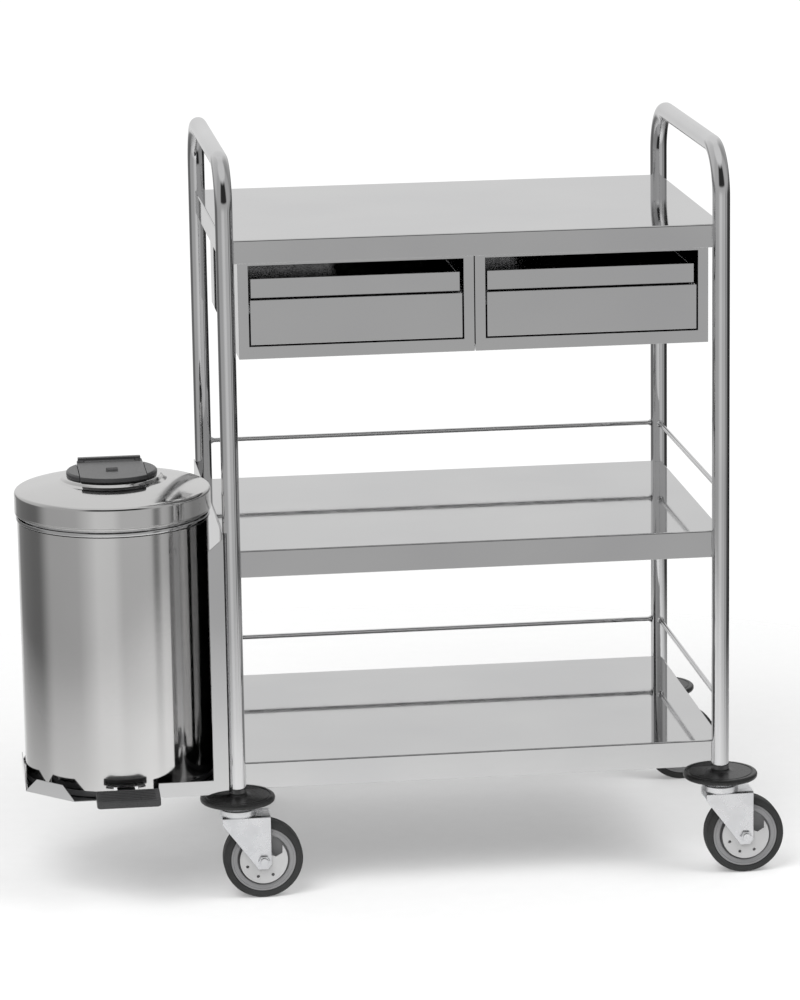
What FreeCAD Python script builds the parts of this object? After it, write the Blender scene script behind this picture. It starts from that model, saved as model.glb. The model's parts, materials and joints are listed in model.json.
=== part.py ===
"""Stainless medication cart: two tube frames, three shelves, two drawers, four swivel
casters and a pedal bin that stands in a folded holder on the left-hand legs.

Lengths are in millimetres, angles in degrees.  +X runs along the cart to its right-hand end,
-Y is the front, where the drawers open, and +Z is up from the floor.  Expressions below are
written in the cart's own coordinates, whose zero is on the floor midway between the legs;
every finished piece is then shifted so that the origin is the centre of the whole footprint.
"""

import FreeCAD, Part
import math
import os
import re
import Sketcher

Vector = FreeCAD.Vector
Rotation = FreeCAD.Rotation

document = FreeCAD.newDocument("MedicationCart")

# ---------------------------------------------------------------- driving dimensions

SIZES = {
    # how far a cutter runs past the face it cuts
    "past": 1,
    # frame
    "leg_half_x": 307, "leg_half_y": 211, "tube_radius": 11, "tube_wall": 1.2,
    "leg_foot": 136.5, "handle_height": 925, "handle_bend": 60,
    # shelves and rails
    "shelf_half_x": 310, "shelf_half_y": 210, "sheet": 1.2, "fold_radius": 2, "hem_width": 6,
    "top_shelf": 833, "middle_shelf": 445, "bottom_shelf": 173,
    "top_rim": 29, "lower_rim": 34, "leg_gap": 0.1,
    "rail_radius": 3, "rail_rise": 52,
    # drawer housings
    "unit_inner": 0.6, "unit_outer": 291.7, "unit_bottom": 685, "unit_front": 207,
    "unit_back": 200, "unit_sheet": 1, "post_width": 12.8, "sill_height": 15.5,
    "unit_flange": 14, "header_drop": 3,
    # drawers
    "panel_gap": 2, "panel_sheet": 1.2, "panel_low": 702.5, "panel_top": 758,
    "grip_low": 744, "band_top": 783, "band_recess": 9, "band_inset": 1.5,
    "drawer_front": 196, "drawer_back": 165, "drawer_low": 704, "drawer_high": 778,
    "drawer_inset": 16.5, "drawer_sheet": 1,
    "channel_low": 738, "channel_high": 752, "channel_depth": 14.8, "runner_slack": 0.3,
    "channel_front": 190, "channel_back": 190, "runner_back": 160,
    # casters
    "caster_trail": 30, "wheel_radius": 50, "tyre_width": 26, "tyre_round": 3, "tyre_crown": 7,
    "core_radius": 41, "core_width": 24, "core_bevel": 1, "rim_inner": 32, "web_width": 8,
    "hub_radius": 12, "hub_width": 27, "axle_radius": 5, "axle_gap": 0.05, "axle_reach": 25,
    "bolt_head": 7.5, "bolt_thick": 4,
    "fork_inner": 16.5, "fork_sheet": 2.5, "fork_top": 108.5, "fork_nose": 21,
    "fork_tail": 39.5, "fork_eye": 11, "fork_shoulder": 10, "fork_toe": 12,
    "fork_toe_rise": 4, "fork_chin": 7, "fork_heel": 5,
    "guard_radius": 30, "guard_sheet": 1.6, "notch_inset": 2, "notch_low": 7, "notch_dip": 3,
    "notch_step": 8, "hole_circle": 22, "hole_radius": 2,
    "race_radius": 23, "race_top": 117.6, "race_gap": 0.4, "race_bevel": 2,
    "stem_radius": 6, "stem_gap": 0.05, "stem_foot": 103.4, "stem_head": 9, "stem_flange": 2,
    "plug_radius": 9.7, "plug_top": 178,
    "disc_radius": 47, "disc_low": 125, "disc_high": 133, "disc_bevel": 2.5, "disc_dip": 0.6,
    "disc_groove": 5.5, "groove_half": 1, "groove_depth": 0.5,
    "collar_radius": 11.6, "collar_slope": 3,
    # bin holder
    "tray_reach": 569, "tray_front": 222, "tray_back": 26, "tray_floor": 136.7,
    "tray_corner": 57.7, "lip_height": 18.8, "panel_height": 470, "panel_half": 222,
    "flange_width": 18, "flange_high": 464, "flange_tip": 3, "lip_end": 406,
    "mitre_reach": 12, "mitre_rise": 0.3, "pedal_slot": 17, "slot_depth": 76,
    "panel_bolt": 5, "panel_bolt_thick": 2, "bolt_low": 60, "bolt_drop": 40,
    # bin
    "bin_x": 446, "bin_y": 98, "bin_radius": 120, "bin_sheet": 1, "bin_floor": 138.2,
    "base_top": 160, "base_wall": 3, "base_gap": 0.2, "shell_low": 146, "shell_top": 470,
    "post_circle": 88, "post_radius": 6,
    "collar_reach": 121.6, "collar_top": 479, "collar_bore": 116.6, "collar_bevel": 2,
    "bucket_low": 168, "bucket_top": 466, "bucket_radius": 105, "bucket_foot": 98,
    "bucket_wall": 2, "bucket_rim": 108, "bail_radius": 1.6,
    "lid_radius": 123, "lid_low": 479.6, "lid_edge": 508.5, "lid_round": 5, "lid_ease": 0.3,
    "dome_rise": 16, "inlet_radius": 45,
    # lid ring and flap
    "inlet_neck": 3, "neck_radius": 50, "plate_low": 524.5, "rosette_radius": 57,
    "rosette_low": 515, "rosette_high": 531.5, "rosette_bevel": 2,
    "flap_half": 41.5, "flap_radius": 61, "flap_high": 532, "flap_depth": 5,
    "flap_axis_y": 46, "flap_axis_z": 530, "flap_pin": 1.6, "flap_eye": 4,
    "flap_knuckle": 3, "knuckle_inset": 9.8, "knuckle_gap": 0.3,
    "hood_high": 535.5, "hood_half": 39.5,
    # lid hinge
    "hinge_y": 130, "hinge_z": 490, "hinge_pin": 2.5, "hinge_eye": 4, "hinge_ear": 14,
    "hinge_boss": 5, "bracket_half": 18, "bracket_sheet": 1.8, "bracket_drop": 34,
    "bracket_foot": 44, "bracket_head": 22, "lid_clear": 0.8,
    # pedal and push rod
    "pivot_y": 118, "pivot_z": 147.5, "pivot_pin": 3, "ear_gap": 0.5, "ear_sheet": 4,
    "ear_half": 7, "lever_half": 11, "lever_sheet": 3, "lever_back": 17, "lever_nose": 12,
    "lever_room": 4, "neck_inset": 9, "neck_front": 6,
    "rod_y": 112, "rod_radius": 2.5, "rod_top": 481.2, "lug_low": 482, "lug_half": 5,
    "pedal_reach": 274, "pedal_back": 240, "pedal_half": 39.5, "pedal_top": 155,
    "pedal_drop": 5, "pedal_thick": 9, "pedal_round": 5,
}

sheet = document.addObject("Spreadsheet::Sheet", "Sizes")
for row, (alias, value) in enumerate(SIZES.items(), start=1):
    sheet.set(f"A{row}", alias)
    sheet.set(f"B{row}", str(value))
    sheet.setAlias(f"B{row}", alias)
document.recompute()

WORD = re.compile(r"\b(" + "|".join(SIZES) + r")\b")

# The footprint runs from the bin tray to the trailing wheels, and from the pedal to the
# rear bumper discs; its centre is the part's origin.
ORIGIN_X = "(tray_reach - leg_half_x - caster_trail - wheel_radius) / 2"
ORIGIN_Y = "(pedal_reach - leg_half_y - disc_radius) / 2"


def cells(expression):
    """An expression with every size name pointed at its cell in the sheet."""
    return WORD.sub(r"Sizes.\1", str(expression))


def bind(thing, prop, expression):
    thing.setExpression(prop, cells(expression))


# ---------------------------------------------------------------- solids from primitives

PARTS = {}


def locate(thing, at, turn=None):
    """Put an object at a point given by three expressions, turned by a fixed rotation."""
    if turn is not None:
        thing.Placement = FreeCAD.Placement(Vector(), turn)
    for axis, expression in zip("xyz", at):
        bind(thing, f"Placement.Base.{axis}", expression)
    return thing


def finish(node, shape, at=("0", "0", "0")):
    """Name a finished piece and shift it from cart coordinates to the part's frame."""
    shape.Label = node
    locate(shape, (f"{ORIGIN_X} + {at[0]}", f"{ORIGIN_Y} + {at[1]}", at[2]))
    PARTS[node] = shape
    return shape


def block(low, high):
    """A box between two corners, each given by three expressions."""
    thing = document.addObject("Part::Box", "block")
    for side, start, end in zip(("Length", "Width", "Height"), low, high):
        bind(thing, side, f"({end}) - ({start})")
    return locate(thing, low)


TURNS = {
    "X": Rotation(Vector(0, 1, 0), 90),
    "Y": Rotation(Vector(1, 0, 0), -90),
    "Z": Rotation(),
}


def rod(radius, length, start, along="Z"):
    """A round bar that starts at a point and runs along +X, +Y or +Z."""
    thing = document.addObject("Part::Cylinder", "rod")
    bind(thing, "Radius", radius)
    bind(thing, "Height", length)
    return locate(thing, start, TURNS[along])


def hexagon(radius, length, start, along):
    """A six-sided prism, such as a bolt head, that runs along +X or +Y."""
    thing = document.addObject("Part::Prism", "hexagon")
    thing.Polygon = 6
    bind(thing, "Circumradius", radius)
    bind(thing, "Height", length)
    return locate(thing, start, TURNS[along])


def fuse(*pieces):
    if len(pieces) == 1:
        return pieces[0]
    thing = document.addObject("Part::MultiFuse", "fused")
    thing.Shapes = list(pieces)
    thing.Refine = True
    return thing


def cut(base, *tools):
    thing = document.addObject("Part::Cut", "cut")
    thing.Base = base
    thing.Tool = fuse(*tools)
    thing.Refine = True
    return thing


def common(first, second):
    thing = document.addObject("Part::Common", "common")
    thing.Base = first
    thing.Tool = second
    return thing


def group(*pieces):
    thing = document.addObject("Part::Compound", "group")
    thing.Links = list(pieces)
    return thing


# ---------------------------------------------------------------- solids from sketches

def new_body(name):
    return document.addObject("PartDesign::Body", name)


def new_sketch(body, role, lift="0"):
    """A sketch on one of the body's own origin planes, lifted along its normal."""
    sketch = body.newObject("Sketcher::SketchObject", "sketch")
    plane = [one for one in body.Origin.OriginFeatures if one.Role == role][0]
    sketch.AttachmentSupport = [(plane, "")]
    sketch.MapMode = "FlatFace"
    bind(sketch, "AttachmentOffset.Base.z", lift)
    return sketch


def measure(sketch, kind, *arguments, to):
    """A dimensional constraint driven by an expression."""
    value = sketch.evalExpression(cells(to))
    value = float(getattr(value, "Value", value))
    index = sketch.addConstraint(Sketcher.Constraint(kind, *arguments, value))
    bind(sketch, f"Constraints[{index}]", to)


def polygon(sketch, points):
    """A closed outline whose corners are pairs of expressions."""
    values = []
    for point in points:
        pair = [sketch.evalExpression(cells(one)) for one in point]
        values.append(Vector(*[float(getattr(one, "Value", one)) for one in pair], 0))
    first = sketch.GeometryCount
    count = len(points)
    for index in range(count):
        sketch.addGeometry(Part.LineSegment(values[index], values[(index + 1) % count]), False)
    for index in range(count):
        line = first + index
        follower = first + (index + 1) % count
        sketch.addConstraint(Sketcher.Constraint("Coincident", line, 2, follower, 1))
    for index, (across, up) in enumerate(points):
        measure(sketch, "DistanceX", first + index, 1, to=across)
        measure(sketch, "DistanceY", first + index, 1, to=up)


def circle(sketch, across, up, radius):
    index = sketch.addGeometry(Part.Circle(Vector(1, 1, 0), Vector(0, 0, 1), 1), False)
    measure(sketch, "DistanceX", index, 3, to=across)
    measure(sketch, "DistanceY", index, 3, to=up)
    measure(sketch, "Radius", index, to=radius)


def rectangle(sketch, low_x, low_y, high_x, high_y):
    polygon(sketch, ((low_x, low_y), (high_x, low_y), (high_x, high_y), (low_x, high_y)))


def pad(body, sketch, length, symmetric=False, backwards=False):
    feature = body.newObject("PartDesign::Pad", "pad")
    feature.Profile = sketch
    bind(feature, "Length", length)
    if symmetric:
        feature.SideType = "Symmetric"
    feature.Reversed = backwards
    return feature


def pocket(body, sketch):
    """Cut a sketch through the whole body, both ways."""
    document.recompute()
    before = body.Shape.Volume
    feature = body.newObject("PartDesign::Pocket", "pocket")
    feature.Profile = sketch
    feature.Type = "ThroughAll"
    feature.SideType = "Symmetric"
    document.recompute()
    assert body.Shape.Volume < before - 0.01, "a pocket cut nothing"
    return feature


def revolve(name, points, plane="XZ_Plane"):
    """A ring or dish turned about the plane's upright axis."""
    body = new_body(name)
    sketch = new_sketch(body, plane)
    polygon(sketch, points)
    feature = body.newObject("PartDesign::Revolution", "turn")
    feature.Profile = sketch
    feature.ReferenceAxis = (sketch, ["V_Axis"])
    feature.Angle = 360
    return body


def round_edges(body, radius, wanted):
    """Fillet the edges of the body's tip that a test picks out."""
    document.recompute()
    tip = body.Tip
    names = []
    for index, edge in enumerate(tip.Shape.Edges, start=1):
        if wanted(edge):
            names.append(f"Edge{index}")
    assert names, "no edge to round"
    feature = body.newObject("PartDesign::Fillet", "fillet")
    feature.Base = (tip, names)
    bind(feature, "Radius", radius)
    return feature


def upright(edge):
    """True for a straight edge that runs along Z."""
    if not isinstance(edge.Curve, Part.Line):
        return False
    return abs(abs(edge.tangentAt(edge.FirstParameter).z) - 1) < 1e-6


def number(expression):
    """The value of an expression over the sheet's cells."""
    value = sheet.evalExpression(expression)
    return float(getattr(value, "Value", value))


SIDES = {"left": -1, "right": 1}
CORNERS = {
    "front_left": (-1, -1), "front_right": (1, -1),
    "back_left": (-1, 1), "back_right": (1, 1),
}
LEGS = [(f"{x} * leg_half_x", f"{y} * leg_half_y") for x, y in CORNERS.values()]
# angles, in degrees, of the small holes in a thread guard and of the bucket's posts
GUARD_HOLES = (150, 200, 250, 300)
BUCKET_POSTS = (40, 140, 220, 320)

# ---------------------------------------------------------------- frame, shelves and rails


def side_frame(side):
    """One hollow tube: up the front leg, over the handle and down the back leg."""
    body = new_body(f"side_frame_{side}")
    path = new_sketch(body, "YZ_Plane")
    half = number("leg_half_y")
    bend = number("handle_bend")
    top = number("handle_height")
    foot = number("leg_foot")
    inner = half - bend
    shoulder = top - bend
    axis = Vector(0, 0, 1)
    front = Part.Circle(Vector(-inner, shoulder, 0), axis, bend)
    back = Part.Circle(Vector(inner, shoulder, 0), axis, bend)
    path.addGeometry([
        Part.LineSegment(Vector(-half, foot, 0), Vector(-half, shoulder, 0)),
        Part.ArcOfCircle(front, math.pi / 2, math.pi),
        Part.LineSegment(Vector(-inner, top, 0), Vector(inner, top, 0)),
        Part.ArcOfCircle(back, 0, math.pi / 2),
        Part.LineSegment(Vector(half, shoulder, 0), Vector(half, foot, 0)),
    ], False)
    for joint in ((0, 2, 1, 2), (1, 1, 2, 1), (2, 2, 3, 2), (3, 1, 4, 1)):
        path.addConstraint(Sketcher.Constraint("Tangent", *joint))
    for kind, line in (("Vertical", 0), ("Horizontal", 2), ("Vertical", 4)):
        path.addConstraint(Sketcher.Constraint(kind, line))
    path.addConstraint(Sketcher.Constraint("Equal", 1, 3))
    measure(path, "DistanceX", 0, 1, to="-leg_half_y")
    measure(path, "DistanceX", 4, 2, to="leg_half_y")
    measure(path, "DistanceY", 0, 1, to="leg_foot")
    measure(path, "DistanceY", 4, 2, to="leg_foot")
    measure(path, "DistanceY", 2, 1, to="handle_height")
    measure(path, "Radius", 1, to="handle_bend")
    ring = new_sketch(body, "XY_Plane", lift="leg_foot")
    circle(ring, "0", "-leg_half_y", "tube_radius")
    circle(ring, "0", "-leg_half_y", "tube_radius - tube_wall")
    pipe = body.newObject("PartDesign::AdditivePipe", "tube")
    pipe.Profile = ring
    pipe.Spine = (path, [])
    finish(f"side_frame_{side}", body, (f"{SIDES[side]} * leg_half_x", "0", "0"))


def shelf(node, height, rim, hem):
    """A flat sheet with its rim folded down on four sides, notched round the legs.

    hem is the width of the edge that is turned inwards under the rim, or None.
    """
    body = new_body(node)
    top = new_sketch(body, "XY_Plane", lift=f"-{rim}")
    outer = ("-shelf_half_x", "-shelf_half_y", "shelf_half_x", "shelf_half_y")
    inner = [f"{side} - sheet" if not side.startswith("-") else f"{side} + sheet"
             for side in outer]
    rectangle(top, *outer)
    pad(body, top, rim)
    hollow = new_sketch(body, "XY_Plane", lift=f"-{rim}")
    rectangle(hollow, *inner)
    feature = body.newObject("PartDesign::Pocket", "hollow")
    feature.Profile = hollow
    bind(feature, "Length", f"{rim} - sheet")
    feature.Reversed = True
    if hem is not None:
        turned = new_sketch(body, "XY_Plane", lift=f"-{rim}")
        rectangle(turned, *inner)
        rectangle(turned, *[f"{side} - {hem}" if not side.startswith("-") else f"{side} + {hem}"
                            for side in inner])
        pad(body, turned, "sheet")

    def folded(edge):
        box = edge.BoundBox
        flat = abs(box.ZMin) < 1e-6 and abs(box.ZMax) < 1e-6
        return flat or (upright(edge) and abs(abs(box.XMin) - number("shelf_half_x")) < 1e-6)

    round_edges(body, "fold_radius", folded)
    notches = new_sketch(body, "XY_Plane")
    for across, along in LEGS:
        circle(notches, across, along, "tube_radius + leg_gap")
    pocket(body, notches)
    finish(node, body, ("0", "0", height))


def rails():
    """Thin guard rods above the two lower shelves, along the back and the right-hand side."""
    back = []
    right = []
    for height in ("middle_shelf", "bottom_shelf"):
        level = f"{height} + rail_rise"
        back.append(rod("rail_radius", "2 * (leg_half_x - tube_radius - leg_gap)",
                        ("-leg_half_x + tube_radius + leg_gap", "leg_half_y", level), "X"))
        right.append(rod("rail_radius", "2 * (leg_half_y - tube_radius - leg_gap)",
                         ("leg_half_x", "-leg_half_y + tube_radius + leg_gap", level), "Y"))
    finish("back_rails", group(*back))
    finish("side_rails", group(*right))


# ---------------------------------------------------------------- drawers


def mirrored_block(sign, low, high):
    """A block given for the right-hand unit, mirrored to the left when sign is -1."""
    if sign > 0:
        return block(low, high)
    return block((f"-({high[0]})", *low[1:]), (f"-({low[0]})", *high[1:]))


def housing(side):
    """Open-fronted sheet box under the top shelf: walls, floor, back, posts, header, sill."""
    sign = SIDES[side]
    front = "-unit_front"
    top = "top_shelf - sheet - leg_gap"
    post_top = "top_shelf - top_rim - leg_gap"
    outside = ("unit_inner", "unit_outer")
    inside = ("unit_inner + unit_sheet", "unit_outer - unit_sheet")
    walls = []
    for wall in ((outside[0], inside[0]), (inside[1], outside[1])):
        walls.append(mirrored_block(
            sign, (wall[0], f"{front} + unit_sheet", "unit_bottom"),
            (wall[1], "unit_back", post_top)))
        walls.append(mirrored_block(
            sign, (wall[0], "-shelf_half_y + 2 * unit_flange", "unit_bottom"),
            (wall[1], "unit_back", top)))
    for post in ((outside[0], "unit_inner + post_width"),
                 ("unit_outer - post_width", outside[1])):
        walls.append(mirrored_block(sign, (post[0], front, "unit_bottom"),
                                    (post[1], f"{front} + unit_sheet", post_top)))
    for flange in ((inside[0], "unit_inner + unit_flange"),
                   ("unit_outer - unit_flange", inside[1])):
        walls.append(mirrored_block(
            sign, (flange[0], "-shelf_half_y + 2 * unit_flange", f"{top} - unit_sheet"),
            (flange[1], "unit_back", top)))
    walls.append(mirrored_block(sign, (outside[0], front, f"{post_top} - header_drop"),
                                (outside[1], f"{front} + unit_sheet", post_top)))
    walls.append(mirrored_block(sign, (outside[0], front, "unit_bottom"),
                                (outside[1], f"{front} + unit_sheet",
                                 "unit_bottom + sill_height")))
    walls.append(mirrored_block(sign, (outside[0], front, "unit_bottom"),
                                (outside[1], "unit_back", "unit_bottom + unit_sheet")))
    walls.append(mirrored_block(sign, (outside[0], "unit_back - unit_sheet", "unit_bottom"),
                                (outside[1], "unit_back", top)))
    finish(f"drawer_housing_{side}", fuse(*walls))


def channels(side):
    """The two C-shaped guides fixed to the housing's walls."""
    sign = SIDES[side]
    solids = []
    for wall, into in (("unit_inner + unit_sheet", 1), ("unit_outer - unit_sheet", -1)):
        near = (wall, f"{wall} + channel_depth") if into > 0 else (
            f"{wall} - channel_depth", wall)
        gap = (f"{wall} + panel_sheet", near[1]) if into > 0 else (
            near[0], f"{wall} - panel_sheet")
        body = mirrored_block(sign, (near[0], "-channel_front", "channel_low"),
                              (near[1], "channel_back", "channel_high"))
        slot = mirrored_block(sign, (gap[0], "-channel_front", "channel_low + panel_sheet"),
                              (gap[1], "channel_back - panel_sheet",
                               "channel_high - panel_sheet"))
        solids.append(cut(body, slot))
    finish(f"drawer_guides_{side}", group(*solids))


def drawer_box(side):
    """The sheet-metal box of one drawer, open at the top."""
    sign = SIDES[side]
    low_x = "unit_inner + drawer_inset"
    high_x = "unit_outer - drawer_inset"
    outer = mirrored_block(sign, (low_x, "-drawer_front", "drawer_low"),
                           (high_x, "drawer_back", "drawer_high"))
    inner = mirrored_block(
        sign, (f"{low_x} + drawer_sheet", "-drawer_front + drawer_sheet",
               "drawer_low + drawer_sheet"),
        (f"{high_x} - drawer_sheet", "drawer_back - drawer_sheet", "drawer_high + past"))
    finish(f"drawer_box_{side}", cut(outer, inner))


def runners(side):
    """The bars on the drawer's sides that slide in the guides and clear the front posts."""
    sign = SIDES[side]
    low = ("-drawer_front + drawer_sheet", "channel_low + panel_sheet + runner_slack")
    high = ("runner_back", "channel_high - panel_sheet - runner_slack")
    spans = (
        ("unit_inner + post_width + runner_slack", "unit_inner + drawer_inset"),
        ("unit_outer - drawer_inset", "unit_outer - post_width - runner_slack"),
    )
    bars = [mirrored_block(sign, (span[0], *low), (span[1], *high)) for span in spans]
    finish(f"drawer_runners_{side}", group(*bars))


def drawer_front(side):
    """One bent sheet: flat panel with a finger channel behind its top edge, recessed band."""
    body = new_body(f"drawer_front_{side}")
    section = new_sketch(body, "YZ_Plane")
    face = "-unit_front"
    back = f"{face} + panel_sheet"
    band = f"{face} + band_recess"
    band_back = f"{band} + panel_sheet"
    polygon(section, (
        (face, "panel_low"), ("-drawer_front", "panel_low"),
        ("-drawer_front", "panel_low + panel_sheet"), (back, "panel_low + panel_sheet"),
        (back, "grip_low - panel_sheet"), (band_back, "grip_low - panel_sheet"),
        (band_back, "band_top - panel_sheet"), ("-drawer_front", "band_top - panel_sheet"),
        ("-drawer_front", "band_top"), (band, "band_top"),
        (band, "grip_low"), (back, "grip_low"), (back, "panel_top"), (face, "panel_top"),
    ))
    width = "unit_outer - unit_inner - 2 * post_width - 2 * panel_gap"
    pad(body, section, width, symmetric=True)
    ends = new_sketch(body, "XZ_Plane")
    for sign in (-1, 1):
        near = f"{sign} * (({width}) / 2 - band_inset)"
        far = f"{sign} * (({width}) / 2 + band_inset)"
        if sign > 0:
            rectangle(ends, near, "panel_top", far, "band_top + past")
        else:
            rectangle(ends, far, "panel_top", near, "band_top + past")
    pocket(body, ends)
    middle = f"{SIDES[side]} * (unit_inner + unit_outer) / 2"
    finish(f"drawer_front_{side}", body, (middle, "0", "0"))


# ---------------------------------------------------------------- casters


def bumper_disc(corner):
    """Rubber disc round the stem, with a low collar that meets the tube's end."""
    groove = "disc_radius - disc_groove"
    face = "disc_high - disc_dip"
    body = revolve(f"bumper_disc_{corner}", (
        ("stem_radius + stem_gap", "disc_low"), ("disc_radius - disc_bevel", "disc_low"),
        ("disc_radius", "disc_low + disc_bevel"), ("disc_radius", "disc_high - disc_bevel"),
        ("disc_radius - disc_bevel", face), (f"{groove} + groove_half", face),
        (groove, f"{face} - groove_depth"), (f"{groove} - groove_half", face),
        ("collar_radius + collar_slope", "disc_high"),
        ("collar_radius", "disc_high + disc_dip"),
        ("collar_radius", "leg_foot - leg_gap"), ("stem_radius + stem_gap", "leg_foot - leg_gap"),
    ))
    x, y = CORNERS[corner]
    finish(f"bumper_disc_{corner}", body, (f"{x} * leg_half_x", f"{y} * leg_half_y", "0"))


def caster_stems():
    """Stem, upper race and tube plug of each caster, fixed in the leg."""
    stems = []
    for across, along in LEGS:
        stems.append(fuse(
            rod("stem_radius", "plug_top - stem_foot", (across, along, "stem_foot")),
            rod("stem_head", "stem_flange", (across, along, "stem_foot")),
            rod("race_radius - race_bevel / 2", "disc_low - race_top - race_gap - leg_gap",
                (across, along, "race_top + race_gap")),
            rod("plug_radius", "plug_top - leg_foot - leg_gap",
                (across, along, "leg_foot + leg_gap")),
        ))
    finish("caster_stems", group(*stems))


def caster_fork(corner):
    """Pressed fork: two cheeks that narrow to the axle, a bridge and the lower race cup."""
    x, y = CORNERS[corner]
    centre = (f"{x} * leg_half_x", f"{y} * leg_half_y")
    cheeks = new_body(f"fork_cheeks_{corner}")
    outline = new_sketch(cheeks, "XZ_Plane")
    polygon(outline, (
        ("-fork_nose", "fork_top"), ("-fork_nose", "fork_top - fork_shoulder"),
        ("caster_trail - fork_toe", "wheel_radius - fork_toe_rise"),
        ("caster_trail - fork_chin", "wheel_radius - fork_eye"),
        ("caster_trail + fork_heel", "wheel_radius - fork_eye"),
        ("fork_tail", "wheel_radius - fork_heel"), ("fork_tail", "fork_top"),
    ))
    pad(cheeks, outline, "2 * (fork_inner + fork_sheet)", symmetric=True)
    inside = new_sketch(cheeks, "YZ_Plane")
    rectangle(inside, "-fork_inner", "-past", "fork_inner", "fork_top - fork_sheet")
    pocket(cheeks, inside)
    eye = new_sketch(cheeks, "XZ_Plane")
    circle(eye, "caster_trail", "wheel_radius", "axle_radius + axle_gap")
    pocket(cheeks, eye)
    bore = new_sketch(cheeks, "XY_Plane")
    circle(bore, "0", "0", "stem_radius + stem_gap")
    pocket(cheeks, bore)

    def outer_corner(edge):
        box = edge.BoundBox
        return (isinstance(edge.Curve, Part.Line)
                and abs(box.ZMin - number("fork_top")) < 1e-6
                and abs(abs(box.YMin) - number("fork_inner + fork_sheet")) < 1e-6
                and box.YLength < 1e-6)

    round_edges(cheeks, "fork_sheet", outer_corner)
    cup = revolve(f"race_cup_{corner}", (
        ("stem_radius + stem_gap", "fork_top"), ("race_radius", "fork_top"),
        ("race_radius", "race_top - race_bevel"), ("race_radius - race_bevel", "race_top"),
        ("stem_radius + stem_gap", "race_top"),
    ))
    finish(f"caster_fork_{corner}", fuse(cheeks, cup), (*centre, "0"))


def guard_outline(body, corner_sign):
    """One thread guard: a disc with a pocket cut away behind the fork's tail."""
    sketch = new_sketch(body, "XZ_Plane", lift=f"{corner_sign} * (fork_inner - leg_gap)")
    circle(sketch, "caster_trail", "wheel_radius", "guard_radius")
    pad(body, sketch, "guard_sheet", backwards=corner_sign > 0)
    near = "fork_tail - notch_inset"
    low = "wheel_radius + notch_low"
    top = "wheel_radius + guard_radius + past"
    notch = new_sketch(body, "XZ_Plane")
    polygon(notch, (
        (near, low), (f"{near} + notch_step", f"{low} - notch_dip"),
        (f"{near} + 2 * notch_step", f"{low} + notch_inset"),
        (f"{near} + 2 * notch_step", top), (near, top),
    ))
    circle(notch, "caster_trail", "wheel_radius", "axle_radius + axle_gap")
    for turn in GUARD_HOLES:
        across = f"caster_trail + hole_circle * cos({turn} * 1 deg)"
        up = f"wheel_radius + hole_circle * sin({turn} * 1 deg)"
        circle(notch, across, up, "hole_radius")
    pocket(body, notch)


def thread_guards(corner):
    x, y = CORNERS[corner]
    discs = []
    for sign in (-1, 1):
        body = new_body(f"thread_guard_{corner}")
        guard_outline(body, sign)
        discs.append(body)
    finish(f"thread_guards_{corner}", group(*discs),
           (f"{x} * leg_half_x", f"{y} * leg_half_y", "0"))


def axle(corner):
    """Axle bolt with its hexagon head to the front and its nut to the back."""
    x, y = CORNERS[corner]
    out = "fork_inner + fork_sheet + leg_gap"
    at = ("caster_trail", "wheel_radius")
    bolt = fuse(
        rod("axle_radius", "2 * axle_reach", (at[0], "-axle_reach", at[1]), "Y"),
        hexagon("bolt_head", "bolt_thick", (at[0], f"-({out}) - bolt_thick", at[1]), "Y"),
    )
    nut = cut(
        hexagon("bolt_head", "bolt_thick", (at[0], out, at[1]), "Y"),
        rod("axle_radius + axle_gap", "bolt_thick + 2 * past", (at[0], f"{out} - past", at[1]),
            "Y"),
    )
    finish(f"axle_{corner}", group(bolt, nut), (f"{x} * leg_half_x", f"{y} * leg_half_y", "0"))


def wheel(corner):
    """Wheel core turned about the axle, and the tyre round it."""
    x, y = CORNERS[corner]
    at = (f"{x} * leg_half_x + caster_trail", f"{y} * leg_half_y", "wheel_radius")
    bore = "axle_radius + 2 * axle_gap"
    core = revolve(f"wheel_core_{corner}", (
        (bore, "-hub_width / 2"), ("hub_radius", "-hub_width / 2"),
        ("hub_radius + core_bevel", "-web_width / 2"), ("rim_inner", "-web_width / 2"),
        ("rim_inner", "-core_width / 2 + core_bevel"),
        ("rim_inner + core_bevel", "-core_width / 2"),
        ("core_radius", "-core_width / 2"), ("core_radius", "core_width / 2"),
        ("rim_inner + core_bevel", "core_width / 2"),
        ("rim_inner", "core_width / 2 - core_bevel"),
        ("rim_inner", "web_width / 2"), ("hub_radius + core_bevel", "web_width / 2"),
        ("hub_radius", "hub_width / 2"), (bore, "hub_width / 2"),
    ), "XY_Plane")
    finish(f"wheel_core_{corner}", core, at)
    side = "tyre_width / 2"
    ease = "wheel_radius - tyre_round / 3"
    tyre = revolve(f"tyre_{corner}", (
        ("core_radius", f"-{side}"), ("wheel_radius - tyre_round", f"-{side}"),
        (ease, f"-{side} + tyre_round"), ("wheel_radius", f"-{side} + tyre_crown"),
        ("wheel_radius", f"{side} - tyre_crown"), (ease, f"{side} - tyre_round"),
        ("wheel_radius - tyre_round", side), ("core_radius", side),
    ), "XY_Plane")
    finish(f"tyre_{corner}", tyre, at)


# ---------------------------------------------------------------- bin holder


def tray_outline(inset):
    """Plan of the tray: the left end is cut off at 45 degrees front and back."""
    left = f"-tray_reach + {inset}"
    front = f"-tray_front + {inset}"
    back = f"tray_back - {inset}"
    corner = f"tray_corner - {inset} * (2 - sqrt(2))"
    right = "-leg_half_x - tube_radius"
    return (
        (right, front), (right, back), (f"{left} + {corner}", back),
        (left, f"{back} - ({corner})"), (left, f"{front} + {corner}"),
        (f"{left} + {corner}", front),
    )


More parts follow.
